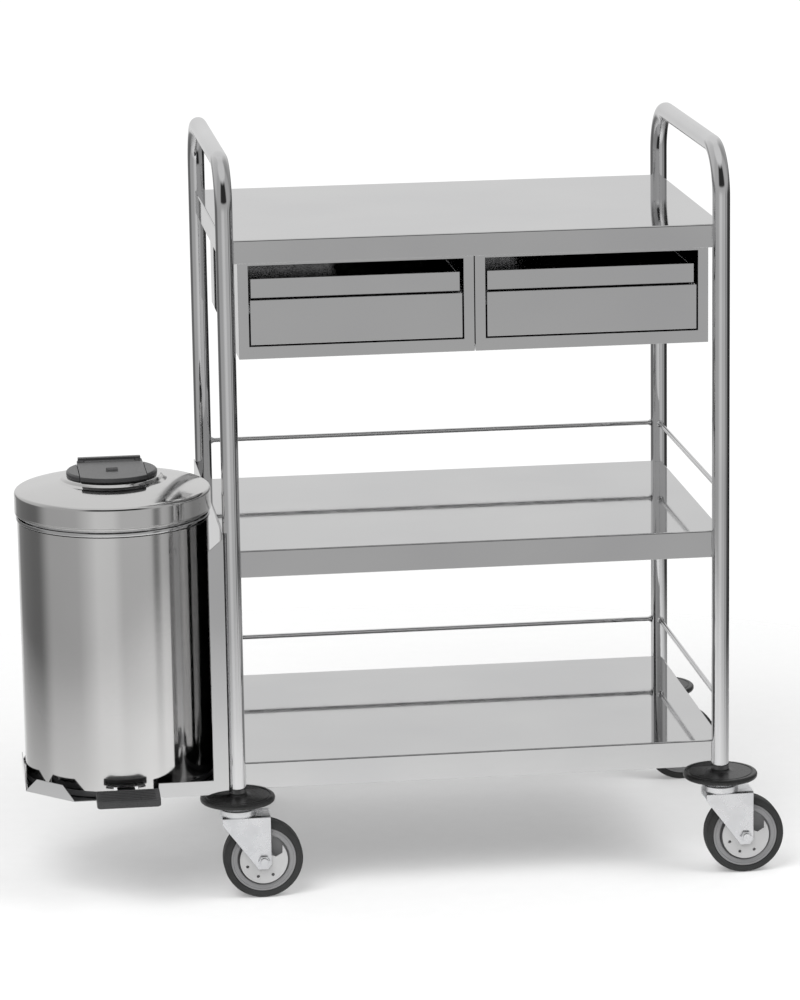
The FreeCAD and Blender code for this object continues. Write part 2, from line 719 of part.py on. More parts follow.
def notch_cutter(at, heading):
    """A square bar standing on its edge, which mitres two lips where they meet."""
    bar = document.addObject("Part::Box", "mitre")
    for side in ("Length", "Width", "Height"):
        bind(bar, side, "2 * lip_height")
    turn = Rotation(Vector(0, 0, 1), heading) * Rotation(Vector(1, 0, 0), 45)
    locate(bar, at, turn)
    return bar


def bin_holder():
    """Folded sheet: upright panel on the legs with a front flange, and a tray with lips."""
    floor = new_body("tray")
    plan = new_sketch(floor, "XY_Plane", lift="tray_floor")
    polygon(plan, tray_outline("0"))
    pad(floor, plan, "lip_height")
    hollow = new_body("tray_hollow")
    plan = new_sketch(hollow, "XY_Plane", lift="tray_floor + sheet")
    polygon(plan, tray_outline("sheet"))
    pad(hollow, plan, "lip_height + past")
    right = "-leg_half_x - tube_radius"
    low = "tray_floor + sheet"
    cutters = [hollow]
    cutters.append(block(("-tray_reach + tray_corner", "-tray_front - past", low),
                         ("-lip_end", "-tray_front + 4 * sheet", "tray_floor + 2 * lip_height")))
    cutters.append(block(("-bin_x - pedal_slot", "-tray_front - past", "tray_floor - past"),
                         ("-bin_x + pedal_slot", "-tray_front + slot_depth", f"{low} + past")))
    corners = (
        ("-tray_reach + tray_corner", "-tray_front", 67.5),
        ("-tray_reach", "-tray_front + tray_corner", 22.5),
        ("-tray_reach", "tray_back - tray_corner", -22.5),
        ("-tray_reach + tray_corner", "tray_back", -67.5),
    )
    for x, y, heading in corners:
        back_x = f"mitre_reach * cos({heading} * 1 deg)"
        back_y = f"mitre_reach * sin({heading} * 1 deg)"
        cutters.append(notch_cutter((f"{x} - {back_x}", f"{y} - {back_y}",
                                     "tray_floor + sheet + mitre_rise"), heading))
    tray = cut(floor, *cutters)
    upright_sheet = block((f"{right} - sheet", "-panel_half", "tray_floor"),
                          (right, "panel_half", "panel_height"))
    flange = new_body("flange")
    face = new_sketch(flange, "XZ_Plane", lift="tray_front")
    polygon(face, (
        (right, "tray_floor"), (right, "flange_high"),
        (f"{right} - sheet", "flange_high"),
        (f"{right} - sheet - flange_width", "flange_high - flange_width + flange_tip"),
        (f"{right} - sheet - flange_width", "tray_floor"),
    ))
    pad(flange, face, "sheet", backwards=True)
    finish("bin_holder", fuse(tray, upright_sheet, flange))


def holder_bolts():
    """Low hexagon heads that hold the panel to the two left-hand legs."""
    skin = "-leg_half_x - tube_radius - sheet - stem_gap"
    heads = []
    for along in ("-leg_half_y", "leg_half_y"):
        for height in ("tray_floor + bolt_low", "panel_height - bolt_drop"):
            heads.append(hexagon("panel_bolt", "panel_bolt_thick",
                                 (f"{skin} - panel_bolt_thick", along, height), "X"))
    finish("holder_bolts", group(*heads))


# ---------------------------------------------------------------- pedal bin

BIN = ("-bin_x", "-bin_y", "0")


def bin_base():
    """Black plastic foot: floor, low wall, posts under the bucket and the pivot's ears."""
    inner = "bin_radius - bin_sheet - base_gap"
    wall = "bin_radius - bin_sheet - base_wall"
    dish = revolve("base_dish", (
        ("0", "bin_floor"), (inner, "bin_floor"),
        ("bin_radius - base_gap", "bin_floor + bin_sheet"),
        ("bin_radius - base_gap", "shell_low - base_gap"), (inner, "shell_low - base_gap"),
        (inner, "base_top"), (wall, "base_top"),
        (wall, "bin_floor + base_wall"), ("0", "bin_floor + base_wall"),
    ))
    inside = "bin_floor + bin_sheet"
    posts = []
    for turn in BUCKET_POSTS:
        spot = (f"post_circle * cos({turn} * 1 deg)", f"post_circle * sin({turn} * 1 deg)", inside)
        posts.append(rod("post_radius", f"bucket_low - base_gap - ({inside})", spot))
    ears = []
    pivot = "bin_y - pivot_y"
    for sign in (-1, 1):
        near = "lever_half + ear_gap"
        far = "lever_half + ear_gap + ear_sheet"
        span = (near, far) if sign > 0 else (f"-({far})", f"-({near})")
        ears.append(block((span[0], f"{pivot} - ear_half", inside),
                          (span[1], f"{pivot} + ear_half", "pivot_z + ear_half")))
    slot = block(("-pedal_slot", "-bin_radius - past", "bin_floor - past"),
                 ("pedal_slot", "-tray_front + bin_y + slot_depth", "pivot_z + lever_room"))
    pin_hole = rod("pivot_pin", "2 * pedal_slot", ("-pedal_slot", pivot, "pivot_z"), "X")
    finish("bin_base", cut(fuse(dish, *posts, *ears), slot, pin_hole), BIN)


def bin_shell():
    """Steel cylinder with a slot at the front for the pedal lever."""
    tube = revolve("shell_tube", (
        ("bin_radius - bin_sheet", "shell_low"), ("bin_radius", "shell_low"),
        ("bin_radius", "shell_top"), ("bin_radius - bin_sheet", "shell_top"),
    ))
    slot = block(("-pedal_slot", "-bin_radius - past", "shell_low - past"),
                 ("pedal_slot", "-bin_radius + pedal_slot", "pivot_z + lever_room"))
    finish("bin_shell", cut(tube, slot), BIN)


def bin_collar():
    """Rolled ring on the shell's mouth, on which the lid shuts."""
    ring = revolve("bin_collar", (
        ("bin_radius - bin_sheet", "shell_top + stem_gap"), ("bin_radius", "shell_top + stem_gap"),
        ("collar_reach", "shell_top + collar_bevel"), ("collar_reach", "collar_top - collar_bevel"),
        ("collar_reach - collar_bevel", "collar_top"), ("collar_bore", "collar_top"),
        ("collar_bore", "shell_top + 2 * collar_bevel"),
    ))
    finish("bin_collar", ring, BIN)


def bucket():
    """Plastic inner bucket, tapered, with a flat rim; it lifts out."""
    body = revolve("bin_bucket", (
        ("0", "bucket_low"), ("bucket_foot", "bucket_low"),
        ("bucket_radius", "bucket_top - bucket_wall"), ("bucket_rim", "bucket_top - bucket_wall"),
        ("bucket_rim", "bucket_top"), ("bucket_radius - bucket_wall", "bucket_top"),
        ("bucket_foot - bucket_wall", "bucket_low + bucket_wall"),
        ("0", "bucket_low + bucket_wall"),
    ))
    finish("bin_bucket", body, BIN)
    bail = document.addObject("Part::Torus", "bail")
    bind(bail, "Radius1", "bucket_radius")
    bind(bail, "Radius2", "bail_radius")
    bail.Angle3 = 180
    locate(bail, ("0", "0", "bucket_top + bail_radius + leg_gap"))
    lugs = []
    for sign in (-1, 1):
        lugs.append(rod("bail_radius", "bail_radius + leg_gap",
                        (f"{sign} * bucket_radius", "0", "bucket_top")))
    finish("bucket_handle", fuse(bail, *lugs), BIN)


def dome_height(radius):
    """Height of the lid's crown at a distance from its centre: a shallow parabola."""
    edge = "(lid_radius - lid_round)"
    return f"lid_edge + dome_rise * (1 - ({radius}) * ({radius}) / ({edge} * {edge}))"


def bin_lid():
    """Domed steel lid with a rounded shoulder, a plain skirt and a round inlet."""
    steps = 5
    outside = []
    inside = []
    for step in range(steps + 1):
        radius = f"inlet_radius + (lid_radius - lid_round - inlet_radius) * {step} / {steps}"
        outside.append((radius, dome_height(radius)))
        inside.append((radius, f"{dome_height(radius)} - bin_sheet"))
    ease = "lid_round * lid_ease"
    shoulder = [(f"lid_radius - {ease}", f"lid_edge - {ease}"),
                ("lid_radius", "lid_edge - lid_round")]
    under = [("lid_radius - bin_sheet", "lid_edge - lid_round"),
             (f"lid_radius - {ease} - bin_sheet", f"lid_edge - {ease} - bin_sheet")]
    skirt = [("lid_radius", "lid_low"), ("lid_radius - bin_sheet", "lid_low")]
    cap = revolve("lid_cap", outside + shoulder + skirt + under + inside[::-1])
    ear = fuse(
        block(("-hinge_ear", "lid_radius - bin_sheet / 2", "hinge_z - hinge_pin"),
              ("hinge_ear", "hinge_y", "hinge_z + hinge_eye")),
        rod("hinge_eye", "2 * hinge_ear", ("-hinge_ear", "hinge_y", "hinge_z"), "X"),
    )
    lug = block(("-lug_half", "rod_y - lug_half", "lug_low"),
                ("lug_half", "lid_radius - bin_sheet / 2", "lug_low + lever_sheet"))
    bore = rod("hinge_pin + axle_gap", "2 * bracket_half", ("-bracket_half", "hinge_y", "hinge_z"),
               "X")
    finish("bin_lid", cut(fuse(cap, ear, lug), bore), BIN)


def lid_ring():
    """Black plate on a short neck round the inlet, with a hood and two ears at its back."""
    inner = "inlet_radius - inlet_neck"
    ring = revolve("rosette_ring", (
        (inner, "rosette_low"), ("inlet_radius - leg_gap", "rosette_low"),
        ("inlet_radius - leg_gap", f"{dome_height('inlet_radius')} + leg_gap"),
        ("neck_radius", f"{dome_height('neck_radius')} + leg_gap"), ("neck_radius", "plate_low"),
        ("rosette_radius - core_bevel", "plate_low"),
        ("rosette_radius", "plate_low + core_bevel"),
        ("rosette_radius", "rosette_high - rosette_bevel"),
        ("rosette_radius - rosette_bevel", "rosette_high"), (inner, "rosette_high"),
    ))
    root = "rosette_high - ear_sheet"
    hood = block(("-hood_half", "flap_axis_y + flap_eye", root),
                 ("hood_half", "rosette_radius + past", "hood_high"))
    ears = []
    for sign in (-1, 1):
        near = "flap_half - knuckle_inset + 2 * knuckle_gap"
        far = "flap_half - ear_gap"
        span = (near, far) if sign > 0 else (f"-({far})", f"-({near})")
        ears.append(block((span[0], "flap_axis_y - flap_eye", root),
                          (span[1], "flap_axis_y + flap_eye + past",
                           "flap_axis_z + flap_pin + past")))
    track = block(("-flap_half - ear_gap", "-flap_radius", "rosette_high - flap_depth - ear_gap"),
                  ("flap_half + ear_gap", "flap_axis_y - flap_eye - past", "hood_high + past"))
    knuckle_half = "flap_half - knuckle_inset + knuckle_gap"
    room = block((f"-({knuckle_half})", "flap_axis_y - flap_eye - 2 * past",
                  "flap_axis_z - flap_knuckle - knuckle_gap"),
                 (knuckle_half, "flap_axis_y + flap_knuckle + knuckle_gap", "hood_high + past"))
    pin_hole = rod("flap_pin", "2 * flap_half", ("-flap_half", "flap_axis_y", "flap_axis_z"), "X")
    finish("lid_ring", cut(fuse(ring, hood, *ears), track, room, pin_hole), BIN)


def lid_flap():
    """Flap over the inlet, its knuckle at the back, and the pin it turns on."""
    low = "rosette_high - flap_depth"
    disc = rod("flap_radius", f"flap_high - ({low})", ("0", "0", low))
    strip = block(("-flap_half", "-flap_radius - past", low),
                  ("flap_half", "flap_axis_y - flap_eye - 2 * past", "flap_high"))
    knuckle_half = "flap_half - knuckle_inset"
    arm = block((f"-({knuckle_half})", "flap_axis_y - flap_eye - 3 * past",
                 "flap_axis_z - flap_knuckle + past"),
                (knuckle_half, "flap_axis_y", "flap_high"))
    knuckle = rod("flap_knuckle", f"2 * ({knuckle_half})",
                  (f"-({knuckle_half})", "flap_axis_y", "flap_axis_z"), "X")
    bore = rod("flap_pin + axle_gap", "2 * flap_half", ("-flap_half", "flap_axis_y", "flap_axis_z"),
               "X")
    finish("lid_flap", cut(fuse(common(disc, strip), arm, knuckle), bore), BIN)
    pin = rod("flap_pin", "2 * (flap_half - ear_gap)",
              ("-flap_half + ear_gap", "flap_axis_y", "flap_axis_z"), "X")
    finish("flap_pin", group(pin), BIN)


def lid_hinge():
    """Bracket on the back of the shell and the pin that carries the lid."""
    back = "bin_radius + base_gap"
    cheeks = []
    for sign in (-1, 1):
        near = "hinge_ear + race_gap"
        far = "bracket_half"
        span = (near, far) if sign > 0 else (f"-({far})", f"-({near})")
        cheeks.append(block((span[0], back, "hinge_z - bracket_drop"),
                            (span[1], "hinge_y + hinge_boss", "hinge_z")))
        cheeks.append(rod("hinge_boss", f"({span[1]}) - ({span[0]})",
                          (span[0], "hinge_y", "hinge_z"), "X"))
    plate = block(("-bracket_half", back, "hinge_z - bracket_foot"),
                  ("bracket_half", f"{back} + bracket_sheet", "hinge_z - bracket_head"))
    clear = revolve("lid_clearance", (
        ("0", "shell_top - past"), ("lid_radius + lid_clear", "shell_top - past"),
        ("lid_radius + lid_clear", "hinge_z + bracket_drop"), ("0", "hinge_z + bracket_drop"),
    ))
    at = ("-bracket_half", "hinge_y", "hinge_z")
    bore = rod("hinge_pin", "2 * bracket_half", at, "X")
    finish("lid_hinge_bracket", cut(fuse(*cheeks, plate), clear, bore), BIN)
    finish("lid_hinge_pin", group(rod("hinge_pin", "2 * bracket_half", at, "X")), BIN)


def pedal():
    """Lever from the pad under the bucket to the push rod, with the pad and the pin."""
    body = new_body("pedal_lever")
    side_view = new_sketch(body, "YZ_Plane")
    low = "pivot_z - lever_sheet / 2"
    high = "pivot_z + lever_sheet / 2"
    nose = "-pedal_reach + lever_nose"
    polygon(side_view, ((nose, low), ("lever_back", low), ("lever_back", high), (nose, high)))
    pad(body, side_view, "2 * lever_half", symmetric=True)
    at = ("-lever_half", "-pivot_y", "pivot_z")
    boss = rod("pivot_pin + lever_sheet", "2 * lever_half", at, "X")
    bore = rod("pivot_pin + axle_gap", "2 * lever_half", at, "X")
    neck_x = "pedal_half - neck_inset"
    neck_low = "-pedal_back - neck_front"
    neck_high = "-pedal_back + lever_nose"
    neck = block((f"-({neck_x})", neck_low, low), (neck_x, neck_high, high))
    finish("pedal_lever", cut(fuse(body, boss, neck), bore), ("-bin_x", "0", "0"))
    pad_body = new_body("pedal_pad")
    side_view = new_sketch(pad_body, "YZ_Plane")
    polygon(side_view, (
        ("-pedal_reach", "pedal_top - pedal_drop - pedal_thick"),
        ("-pedal_back", "pedal_top - pedal_thick"), ("-pedal_back", "pedal_top"),
        ("-pedal_reach", "pedal_top - pedal_drop"),
    ))
    pad(pad_body, side_view, "2 * pedal_half", symmetric=True)

    def front_corner(edge):
        box = edge.BoundBox
        return upright(edge) and abs(box.YMin + number("pedal_reach")) < 1e-6

    round_edges(pad_body, "pedal_round", front_corner)
    fit = "stem_gap"
    room = fuse(
        block((f"-lever_half - {fit}", f"{nose} - {fit}", f"{low} - {fit}"),
              (f"lever_half + {fit}", "-pedal_back + past", f"{high} + {fit}")),
        block((f"-({neck_x}) - {fit}", f"{neck_low} - {fit}", f"{low} - {fit}"),
              (f"{neck_x} + {fit}", f"{neck_high} + past", f"{high} + {fit}")),
    )
    finish("pedal_pad", cut(pad_body, room), ("-bin_x", "0", "0"))
    reach = "lever_half + ear_gap + ear_sheet"
    pin = rod("pivot_pin", f"2 * ({reach})", (f"-({reach})", "-pivot_y", "pivot_z"), "X")
    finish("pedal_pin", group(pin), ("-bin_x", "0", "0"))


def push_rod():
    """Round-ended rod from the lever's tail to the lid's lug."""
    foot = "pivot_z + lever_sheet / 2 + race_gap"
    tip = document.addObject("Part::Sphere", "rod_tip")
    bind(tip, "Radius", "rod_radius")
    locate(tip, ("0", "rod_y", "rod_top - rod_radius"))
    stem = rod("rod_radius", f"rod_top - rod_radius - ({foot})", ("0", "rod_y", foot))
    finish("push_rod", fuse(stem, tip), BIN)


# ---------------------------------------------------------------- assembly

for name in SIDES:
    side_frame(name)
shelf("top_shelf", "top_shelf", "top_rim", None)
shelf("middle_shelf", "middle_shelf", "lower_rim", "hem_width")
shelf("bottom_shelf", "bottom_shelf", "lower_rim", "hem_width")
rails()
for name in SIDES:
    housing(name)
    channels(name)
    drawer_box(name)
    runners(name)
    drawer_front(name)
for name in CORNERS:
    bumper_disc(name)
    caster_fork(name)
    thread_guards(name)
    axle(name)
    wheel(name)
caster_stems()
bin_holder()
holder_bolts()
bin_base()
bin_shell()
bin_collar()
bucket()
bin_lid()
lid_ring()
lid_flap()
lid_hinge()
pedal()
push_rod()

document.recompute()

for thing in document.Objects:
    bad = [word for word in thing.State if word in ("Invalid", "Error")]
    assert not bad, f"{thing.Label} ({thing.Name}) is {bad}"
for node, thing in PARTS.items():
    assert not thing.Shape.isNull(), f"{node} has no shape"
    assert thing.Shape.isValid(), f"{node} is not a valid shape"

os.makedirs("parts", exist_ok=True)
for node, thing in PARTS.items():
    thing.Shape.exportStep(f"parts/{node}.step")
print(len(PARTS), "parts written")
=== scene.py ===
"""Looks for the stainless medication cart: polished sheet and tube, brushed pedal bin,
rubber bumper discs and swivel casters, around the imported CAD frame."""

import json
import math

import bmesh
import bpy
from mathutils import Matrix, Vector

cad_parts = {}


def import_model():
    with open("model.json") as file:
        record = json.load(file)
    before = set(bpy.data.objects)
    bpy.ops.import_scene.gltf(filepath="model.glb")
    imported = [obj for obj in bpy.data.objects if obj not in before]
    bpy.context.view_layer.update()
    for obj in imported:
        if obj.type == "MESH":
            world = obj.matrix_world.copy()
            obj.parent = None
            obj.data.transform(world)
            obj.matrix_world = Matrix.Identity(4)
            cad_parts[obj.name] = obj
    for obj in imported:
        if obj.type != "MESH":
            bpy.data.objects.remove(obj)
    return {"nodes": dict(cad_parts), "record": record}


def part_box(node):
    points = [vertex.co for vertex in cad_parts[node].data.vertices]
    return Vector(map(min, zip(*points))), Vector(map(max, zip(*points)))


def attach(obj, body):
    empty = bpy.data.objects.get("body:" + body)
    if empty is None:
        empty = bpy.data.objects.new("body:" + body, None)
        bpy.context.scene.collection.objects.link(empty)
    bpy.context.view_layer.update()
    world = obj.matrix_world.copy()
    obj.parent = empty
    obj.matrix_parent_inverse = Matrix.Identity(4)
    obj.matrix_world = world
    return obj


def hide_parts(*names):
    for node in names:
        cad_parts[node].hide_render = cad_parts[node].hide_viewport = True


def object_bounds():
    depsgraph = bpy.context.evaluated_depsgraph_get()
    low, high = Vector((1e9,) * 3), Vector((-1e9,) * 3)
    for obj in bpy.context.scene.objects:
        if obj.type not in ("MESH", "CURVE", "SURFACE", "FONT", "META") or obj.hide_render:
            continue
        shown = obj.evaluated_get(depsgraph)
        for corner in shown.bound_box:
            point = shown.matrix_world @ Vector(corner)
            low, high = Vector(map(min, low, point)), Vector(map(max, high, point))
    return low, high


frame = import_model()
cad_low, cad_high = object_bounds()
NODES = frame["nodes"]
CORNERS = ("front_left", "front_right", "back_left", "back_right")
SIDES = ("left", "right")
MM = 0.001
EASE_SEGMENTS = 3
FACE_WEIGHT = 80
WELD_DISTANCE = 2e-6
FLAT_ANGLE = 0.4
COLOUR_SOCKETS = (6, 7)
COLOUR_OUTPUT = 2
FLOAT_SOCKET = 2


# ---------------------------------------------------------------- node materials


class Shader:
    """A material's node tree with short ways to add and join nodes."""

    def __init__(self, name):
        self.material = bpy.data.materials.get(name) or bpy.data.materials.new(name)
        self.material.use_nodes = True
        self.tree = self.material.node_tree
        self.tree.nodes.clear()
        output = self.add("ShaderNodeOutputMaterial")
        self.surface = self.add("ShaderNodeBsdfPrincipled")
        self.join(self.surface.outputs[0], output.inputs["Surface"])
        self.place = self.add("ShaderNodeTexCoord").outputs["Object"]

    def add(self, kind, **values):
        node = self.tree.nodes.new(kind)
        for key, value in values.items():
            setattr(node, key, value)
        return node

    def join(self, source, target):
        self.tree.links.new(source, target)

    def set(self, **values):
        """Constant values on the surface shader's own sockets."""
        for key, value in values.items():
            self.surface.inputs[key.replace("_", " ")].default_value = value

    def stretched(self, scale):
        mapping = self.add("ShaderNodeMapping")
        mapping.inputs["Scale"].default_value = scale
        self.join(self.place, mapping.inputs["Vector"])
        return mapping.outputs[0]

    def noise(self, scale, detail=2.0, stretch=None, roughness=0.5):
        node = self.add("ShaderNodeTexNoise")
        node.inputs["Scale"].default_value = scale
        node.inputs["Detail"].default_value = detail
        node.inputs["Roughness"].default_value = roughness
        source = self.stretched(stretch) if stretch else self.place
        self.join(source, node.inputs["Vector"])
        return node.outputs["Fac"]

    def ramp(self, source, low, high, start=0.35, end=0.65):
        """Remap a 0-1 texture between two numbers."""
        node = self.add("ShaderNodeMapRange")
        node.inputs["From Min"].default_value = start
        node.inputs["From Max"].default_value = end
        node.inputs["To Min"].default_value = low
        node.inputs["To Max"].default_value = high
        self.join(source, node.inputs["Value"])
        return node.outputs[0]

    def blend(self, factor, first, second):
        """A colour between two others, by a texture."""
        node = self.add("ShaderNodeMix", data_type="RGBA")
        self.join(factor, node.inputs["Factor"])
        for socket, colour in zip(COLOUR_SOCKETS, (first, second)):
            node.inputs[socket].default_value = (*colour, 1)
        return node.outputs[COLOUR_OUTPUT]

    def bump(self, source, strength, distance, under=None):
        node = self.add("ShaderNodeBump")
        node.inputs["Strength"].default_value = strength
        node.inputs["Distance"].default_value = distance
        self.join(source, node.inputs["Height"])
        if under is not None:
            self.join(under, node.inputs["Normal"])
        return node.outputs[0]

    def feed(self, socket, source):
        self.join(source, self.surface.inputs[socket])


def steel(name, light, dark, gloss, grain, wave):
    """Stainless steel: gloss is (low, high) roughness, grain the stretch of the polishing
    lines, wave the depth in metres of the sheet's slow unevenness."""
    line_scale, cloud_scale, wave_scale = 60, 5, 1.6
    line_strength, line_depth = 0.35, 4e-6
    shader = Shader(name)
    shader.set(Metallic=1.0)
    lines = shader.noise(line_scale, 4, stretch=grain, roughness=0.6)
    cloud = shader.noise(cloud_scale, 2)
    shader.feed("Base Color", shader.blend(shader.ramp(cloud, 0, 1), dark, light))
    shader.feed("Roughness", shader.ramp(lines, gloss[0], gloss[1]))
    slow = shader.bump(shader.noise(wave_scale, 0), 1.0, wave)
    shader.feed("Normal", shader.bump(lines, line_strength, line_depth, under=slow))
    return shader.material


def plastic(name, light, dark, gloss, grain_size, depth):
    """Moulded plastic or rubber with a fine surface grain, depth metres deep."""
    cloud_scale, grain_strength = 14, 0.5
    shader = Shader(name)
    shader.set(Metallic=0.0, IOR=1.5)
    cloud = shader.noise(cloud_scale, 3)
    shader.feed("Base Color", shader.blend(shader.ramp(cloud, 0, 1), dark, light))
    grain = shader.noise(grain_size, 3, roughness=0.6)
    shader.feed("Roughness", shader.ramp(grain, gloss[0], gloss[1]))
    shader.feed("Normal", shader.bump(grain, grain_strength, depth))
    return shader.material


STEELS = {
    "polished_stainless": {
        "light": (0.66, 0.66, 0.66), "dark": (0.62, 0.62, 0.625),
        "gloss": (0.03, 0.06), "grain": (1, 1, 1), "wave": 6e-5},
    "tube_stainless": {
        "light": (0.76, 0.76, 0.765), "dark": (0.68, 0.68, 0.685),
        "gloss": (0.03, 0.07), "grain": (1, 1, 0.1), "wave": 1e-5},
    "bin_steel": {
        "light": (0.73, 0.725, 0.72), "dark": (0.67, 0.665, 0.66),
        "gloss": (0.07, 0.12), "grain": (0.25, 0.25, 14), "wave": 2e-5},
    "zinc_steel": {
        "light": (0.78, 0.78, 0.79), "dark": (0.68, 0.69, 0.71),
        "gloss": (0.22, 0.36), "grain": (1, 1, 1), "wave": 1e-5},
}
PLASTICS = {
    "bumper_rubber": {
        "light": (0.012, 0.012, 0.012), "dark": (0.007, 0.007, 0.007),
        "gloss": (0.24, 0.38), "grain_size": 900, "depth": 2e-5},
    "tyre_rubber": {
        "light": (0.035, 0.036, 0.036), "dark": (0.02, 0.02, 0.02),
        "gloss": (0.55, 0.75), "grain_size": 700, "depth": 4e-5},
    "wheel_plastic": {
        "light": (0.32, 0.32, 0.325), "dark": (0.27, 0.27, 0.275),
        "gloss": (0.38, 0.5), "grain_size": 800, "depth": 2e-5},
    "guard_plastic": {
        "light": (0.6, 0.6, 0.6), "dark": (0.52, 0.52, 0.52),
        "gloss": (0.3, 0.42), "grain_size": 600, "depth": 1e-5},
    "black_plastic": {
        "light": (0.055, 0.055, 0.057), "dark": (0.04, 0.04, 0.041),
        "gloss": (0.24, 0.36), "grain_size": 1100, "depth": 2e-5},
    "bucket_plastic": {
        "light": (0.05, 0.05, 0.052), "dark": (0.035, 0.035, 0.036),
        "gloss": (0.4, 0.55), "grain_size": 700, "depth": 2e-5},
}
MATERIALS = {name: steel(name, **values) for name, values in STEELS.items()}
MATERIALS |= {name: plastic(name, **values) for name, values in PLASTICS.items()}

SLOT = {row["node"]: row["material_slot"] for row in frame["record"]["subparts"]}
BODY = {node: body for body, nodes in frame["record"]["behaviour"]["bodies"].items()
        for node in nodes}
for node, thing in NODES.items():
    thing.data.materials.clear()
    thing.data.materials.append(MATERIALS[SLOT[node]])


# ---------------------------------------------------------------- piece makers


def place(name, mesh, node, stands_for=True, ease=None, angle=30, solid=None):
    """Show a mesh as a piece on a node's body and slot, with its sharp edges eased."""
    mesh.materials.clear()
    mesh.materials.append(MATERIALS[SLOT[node]])
    mesh.shade_smooth()
    thing = bpy.data.objects.new(name, mesh)
    bpy.context.scene.collection.objects.link(thing)
    if solid:
        wall = thing.modifiers.new("wall", "SOLIDIFY")
        wall.thickness = solid
        wall.offset = -1
        wall.use_even_offset = True
    if ease:
        bevel = thing.modifiers.new("ease", "BEVEL")
        bevel.width = ease
        bevel.segments = EASE_SEGMENTS
        bevel.limit_method = "ANGLE"
        bevel.angle_limit = math.radians(angle)
        bevel.use_clamp_overlap = False
    else:
        mesh.set_sharp_from_angle(angle=math.radians(angle))
    flat = thing.modifiers.new("flat", "WEIGHTED_NORMAL")
    flat.mode = "FACE_AREA"
    flat.weight = FACE_WEIGHT
    flat.keep_sharp = True
    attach(thing, BODY[node])
    if stands_for:
        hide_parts(node)
    return thing


def mesh_from(work, name):
    """Turn a working mesh into mesh data, with its faces all turned outwards."""
    bmesh.ops.recalc_face_normals(work, faces=work.faces)
    mesh = bpy.data.meshes.new(name)
    work.to_mesh(mesh)
    work.free()
    return mesh


def softened(node, ease, angle=30):
    """The CAD shape with its coplanar facets joined and its sharp edges eased."""
    work = bmesh.new()
    work.from_mesh(NODES[node].data)
    bmesh.ops.remove_doubles(work, verts=work.verts, dist=WELD_DISTANCE)
    bmesh.ops.dissolve_limit(work, angle_limit=math.radians(FLAT_ANGLE), verts=work.verts,
                             edges=work.edges)
    mesh = mesh_from(work, f"{node}_eased")
    for layer in ("custom_normal", "sharp_face", "sharp_edge"):
        if layer in mesh.attributes:
            mesh.attributes.remove(mesh.attributes[layer])
    return place(f"{node}_eased", mesh, node, ease=ease, angle=angle)


AXES = {
    "X": (Vector((0, 1, 0)), Vector((0, 0, 1)), Vector((1, 0, 0))),
    "Y": (Vector((0, 0, 1)), Vector((1, 0, 0)), Vector((0, 1, 0))),
    "Z": (Vector((1, 0, 0)), Vector((0, 1, 0)), Vector((0, 0, 1))),
}


def add_turned(work, profile, centre, along, segments, closed=True, keep=None):
    """Add a shape turned about an axis; profile is (radius, height) pairs in metres."""
    across, up, axis = AXES[along]
    rings = []
    for radius, height in profile:
        middle = centre + axis * height
        if radius < 1e-9:
            rings.append([work.verts.new(middle)] * segments)
            continue
        ring = []
        for step in range(segments):
            angle = math.tau * step / segments
            ring.append(work.verts.new(middle + across * (radius * math.cos(angle))
                                       + up * (radius * math.sin(angle))))
        rings.append(ring)
    spans = range(len(rings)) if closed else range(len(rings) - 1)
    for index in spans:
        first = rings[index]
        second = rings[(index + 1) % len(rings)]
        for step in range(segments):
            after = (step + 1) % segments
            corners = []
            for vert in (first[step], first[after], second[after], second[step]):
                if vert not in corners:
                    corners.append(vert)
            if len(corners) < 3:
                continue
            if keep is None or keep(sum((v.co for v in corners), Vector()) / len(corners)):
                work.faces.new(corners)


def turned(name, node, profile, centre, along="Z", segments=128, closed=True, ease=None,
           keep=None, solid=None):
    """Show a turned shape in place of a node; keep says which faces stay."""
    work = bmesh.new()
    add_turned(work, profile, centre, along, segments, closed, keep)
    loose = [vert for vert in work.verts if not vert.link_faces]
    bmesh.ops.delete(work, geom=loose, context="VERTS")
    return place(name, mesh_from(work, name), node, ease=ease, solid=solid)


def add_block(work, low, high):
    """Add a plain box between two corners to a mesh that gets eased later."""
    corners = [work.verts.new((x, y, z)) for x in (low[0], high[0]) for y in (low[1], high[1])
               for z in (low[2], high[2])]
    for face in ((0, 1, 3, 2), (4, 6, 7, 5), (0, 4, 5, 1), (2, 3, 7, 6), (0, 2, 6, 4),
                 (1, 5, 7, 3)):
        work.faces.new([corners[index] for index in face])


def arc(radius, height, reach, start, end, steps=6):
    """Profile points on a quarter or half round, angles in degrees."""
    points = []
    for step in range(steps + 1):
        angle = math.radians(start + (end - start) * step / steps)
        points.append((radius + reach * math.cos(angle), height + reach * math.sin(angle)))
    return points


def middle_of(node):
    """A node's lower corner, upper corner and middle."""
    low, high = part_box(node)
    low, high = Vector(low), Vector(high)
    return low, high, (low + high) / 2


# ---------------------------------------------------------------- frame and rails

BEND = 60 * MM
TUBE_WALL = 1.2 * MM
FOOT_DEPTH = 20 * MM
LEG_STEPS, BEND_STEPS, TOP_STEPS, TUBE_SEGMENTS = 8, 16, 8, 48
# weld collar of a guard rod: millimetres beyond the rod's radius, and along it from its end
WELD = ((1.7, 0), (1.6, 0.7), (0.9, 1.6), (0.3, 2.6), (0, 4))


